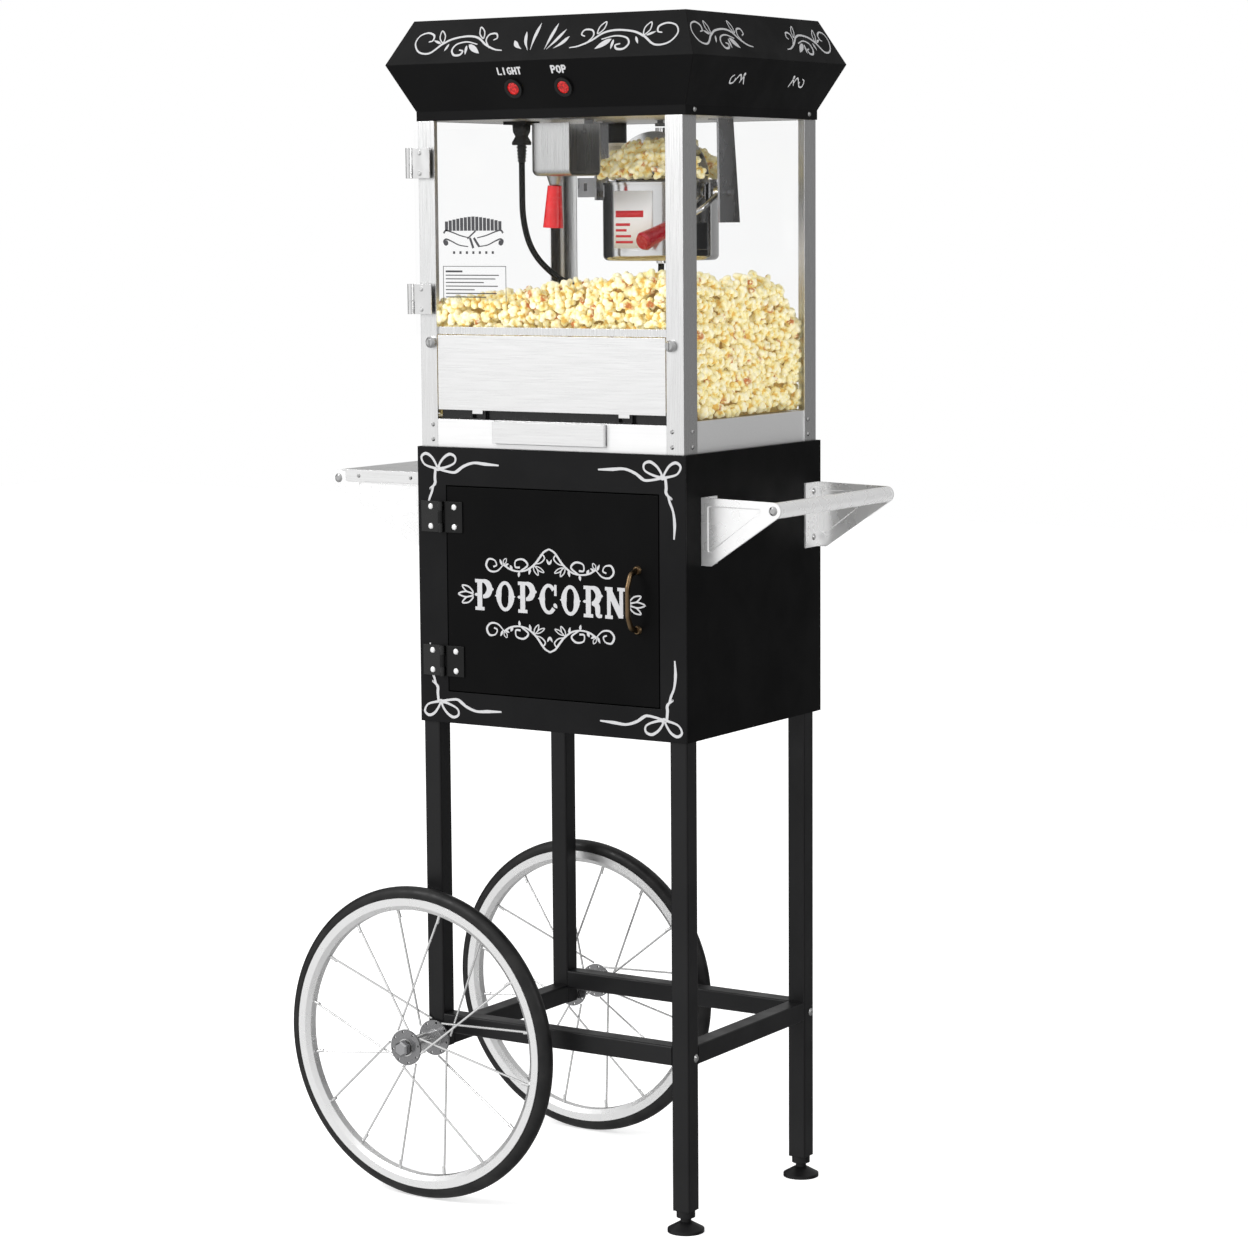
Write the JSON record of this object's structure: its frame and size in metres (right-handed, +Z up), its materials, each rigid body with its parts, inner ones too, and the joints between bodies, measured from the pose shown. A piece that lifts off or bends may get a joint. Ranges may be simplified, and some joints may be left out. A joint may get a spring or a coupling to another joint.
{
  "type": "popcorn cart",
  "caption": "Popcorn popping cabinet with glass panes, kettle and scoop, on a black cart with wire-spoked wheels, push bar, shelf and storage box.",
  "frame": {"origin": "on the floor, at the middle of the cart's footprint (tyre to push bar, axle nut to axle nut)", "axes": "+Z up, -Y towards the door side that the customer faces, +X from the wheels towards the push bar and levelling feet"},
  "size_m": [0.7119, 0.4814, 1.5273],
  "materials": {
    "frame_black": "satin black powder coat",
    "axle_steel": "bright zinc-plated steel",
    "bush_plastic": "black moulded nylon",
    "tyre_rubber": "matte black rubber",
    "rim_alloy": "satin silver rim",
    "hub_chrome": "bright chrome hub and spokes",
    "cart_black": "satin black powder coat",
    "bronze": "antique bronze",
    "hinge_chrome": "bright chrome",
    "bracket_chrome": "bright chrome",
    "stainless": "brushed stainless steel",
    "glass": "clear tempered glass",
    "canopy_black": "satin black powder coat",
    "switch_red": "translucent red plastic",
    "black_plastic": "black moulded plastic",
    "motor_metal": "grey painted steel",
    "bulb_glass": "frosted glass",
    "kettle_steel": "polished stainless steel",
    "scoop_red": "glossy red plastic",
    "grip_dark_red": "glossy dark red plastic",
    "cord_black": "matte black rubber sheath",
    "popcorn": "popped corn, cream with yellow patches"
  },
  "bodies": {
    "root": {"legs_left": "frame_black", "legs_right": "frame_black", "stretchers": "frame_black", "foot_collars": "frame_black", "axle_rod": "axle_steel", "axle_nuts": "axle_steel", "wheel_bushes": "bush_plastic", "cart_body": "cart_black", "cart_trays": "cart_black", "cart_front_frame": "cart_black", "hinge_frame_leaves": "hinge_chrome", "frame_screws": "hinge_chrome", "side_brackets": "bracket_chrome", "handle_bars": "bracket_chrome", "shelf_plate": "stainless", "posts": "stainless", "machine_base": "stainless", "deck_plate": "stainless", "ceiling_plate": "stainless", "glass_panes": "glass", "canopy_shell": "canopy_black", "switch_bezels": "black_plastic", "electrical_fittings": "black_plastic", "kettle_plug": "black_plastic", "gear_motor": "motor_metal", "lamp_bulb": "bulb_glass", "kettle_hangers": "kettle_steel", "scoop_peg": "kettle_steel", "kettle_cord": "cord_black", "popcorn_heap": "popcorn"},
    "wheel_front": {"wheel_front_tyre": "tyre_rubber", "wheel_front_rim": "rim_alloy", "wheel_front_hub": "hub_chrome"},
    "wheel_rear": {"wheel_rear_tyre": "tyre_rubber", "wheel_rear_rim": "rim_alloy", "wheel_rear_hub": "hub_chrome"},
    "foot_front": {"foot_front": "frame_black"},
    "foot_rear": {"foot_rear": "frame_black"},
    "cart_door": {"cart_door": "cart_black", "cart_door_pull": "bronze", "cart_hinge_door_leaves": "hinge_chrome"},
    "glass_door": {"glass_door": "glass", "glass_hinge_leaves": "hinge_chrome"},
    "drop_panel": {"drop_panel": "stainless"},
    "knob_left": {"knob_left": "hinge_chrome"},
    "knob_right": {"knob_right": "hinge_chrome"},
    "kernel_drawer": {"kernel_drawer": "stainless"},
    "switch_light": {"switch_light": "switch_red"},
    "switch_pop": {"switch_pop": "switch_red"},
    "kettle": {"kettle_pot": "kettle_steel", "kettle_base": "kettle_steel", "kettle_bridge": "kettle_steel", "tilt_rod": "kettle_steel", "tilt_grip": "grip_dark_red"},
    "kettle_lid_front": {"kettle_lid_front": "kettle_steel"},
    "kettle_lid_rear": {"kettle_lid_rear": "kettle_steel"},
    "agitator": {"agitator": "kettle_steel"},
    "drive_shaft": {"drive_shaft": "motor_metal"},
    "scoop": {"scoop_bowl": "kettle_steel", "scoop_grip": "scoop_red"}
  },
  "joints": [
    {"name": "wheel_front_spin", "type": "hinge", "parent": "root", "child": "wheel_front", "pos_m": [-0.149, -0.19575, 0.207], "axis": [0, 1, 0], "continuous": true},
    {"name": "wheel_rear_spin", "type": "hinge", "parent": "root", "child": "wheel_rear", "pos_m": [-0.149, 0.19575, 0.207], "axis": [0, 1, 0], "continuous": true},
    {"name": "foot_front_turn", "type": "hinge", "parent": "root", "child": "foot_front", "pos_m": [0.228, -0.1475, 0.02], "axis": [0, 0, 1], "continuous": true},
    {"name": "foot_rear_turn", "type": "hinge", "parent": "root", "child": "foot_rear", "pos_m": [0.228, 0.1475, 0.02], "axis": [0, 0, 1], "continuous": true},
    {"name": "cart_door_hinge", "type": "hinge", "parent": "root", "child": "cart_door", "pos_m": [-0.126, -0.1665, 0.803], "axis": [0, 0, -1], "range_deg": [0, 110]},
    {"name": "glass_door_hinge", "type": "hinge", "parent": "root", "child": "glass_door", "pos_m": [-0.169, -0.1647, 1.26], "axis": [0, 0, -1], "range_deg": [0, 110]},
    {"name": "drop_panel_hinge", "type": "hinge", "parent": "root", "child": "drop_panel", "pos_m": [0.0395, -0.155, 1.0315], "axis": [1, 0, 0], "range_deg": [0, 95]},
    {"name": "knob_left_turn", "type": "hinge", "parent": "root", "child": "knob_left", "pos_m": [-0.1415, -0.1615, 1.12], "axis": [0, 1, 0], "continuous": true},
    {"name": "knob_right_turn", "type": "hinge", "parent": "root", "child": "knob_right", "pos_m": [0.2205, -0.1615, 1.12], "axis": [0, 1, 0], "continuous": true},
    {"name": "kernel_drawer_slide", "type": "slide", "parent": "root", "child": "kernel_drawer", "axis": [0, -1, 0], "range_m": [0, 0.13]},
    {"name": "switch_light_rock", "type": "hinge", "parent": "root", "child": "switch_light", "pos_m": [-0.0025, -0.16857, 1.439], "axis": [1, 0, 0], "range_deg": [-6, 6]},
    {"name": "switch_pop_rock", "type": "hinge", "parent": "root", "child": "switch_pop", "pos_m": [0.0725, -0.16857, 1.439], "axis": [1, 0, 0], "range_deg": [-6, 6]},
    {"name": "kettle_tilt", "type": "hinge", "parent": "root", "child": "kettle", "pos_m": [0.0785, 0.0465, 1.308], "axis": [1, 0, 0], "range_deg": [0, 85], "deforming": ["kettle_cord"]},
    {"name": "kettle_lid_front_hinge", "type": "hinge", "parent": "kettle", "child": "kettle_lid_front", "pos_m": [0.0785, 0.0385, 1.327], "axis": [1, 0, 0], "range_deg": [-3, 82]},
    {"name": "kettle_lid_rear_hinge", "type": "hinge", "parent": "kettle", "child": "kettle_lid_rear", "pos_m": [0.0785, 0.0545, 1.327], "axis": [-1, 0, 0], "range_deg": [-3, 82]},
    {"name": "drive_spin", "type": "hinge", "parent": "root", "child": "drive_shaft", "pos_m": [0.0785, 0.0465, 1.4], "axis": [0, 0, 1], "continuous": true},
    {"name": "agitator_spin", "type": "hinge", "parent": "kettle", "child": "agitator", "pos_m": [0.0785, 0.0465, 1.3], "axis": [0, 0, 1], "continuous": true},
    {"name": "scoop_swing", "type": "hinge", "parent": "root", "child": "scoop", "pos_m": [0.0335, -0.0625, 1.386], "axis": [0, 1, 0], "range_deg": [-4, 4]}
  ],
  "couplings": [
    {"joint": "drive_spin", "follows": "agitator_spin", "ratio": 1}
  ]
}
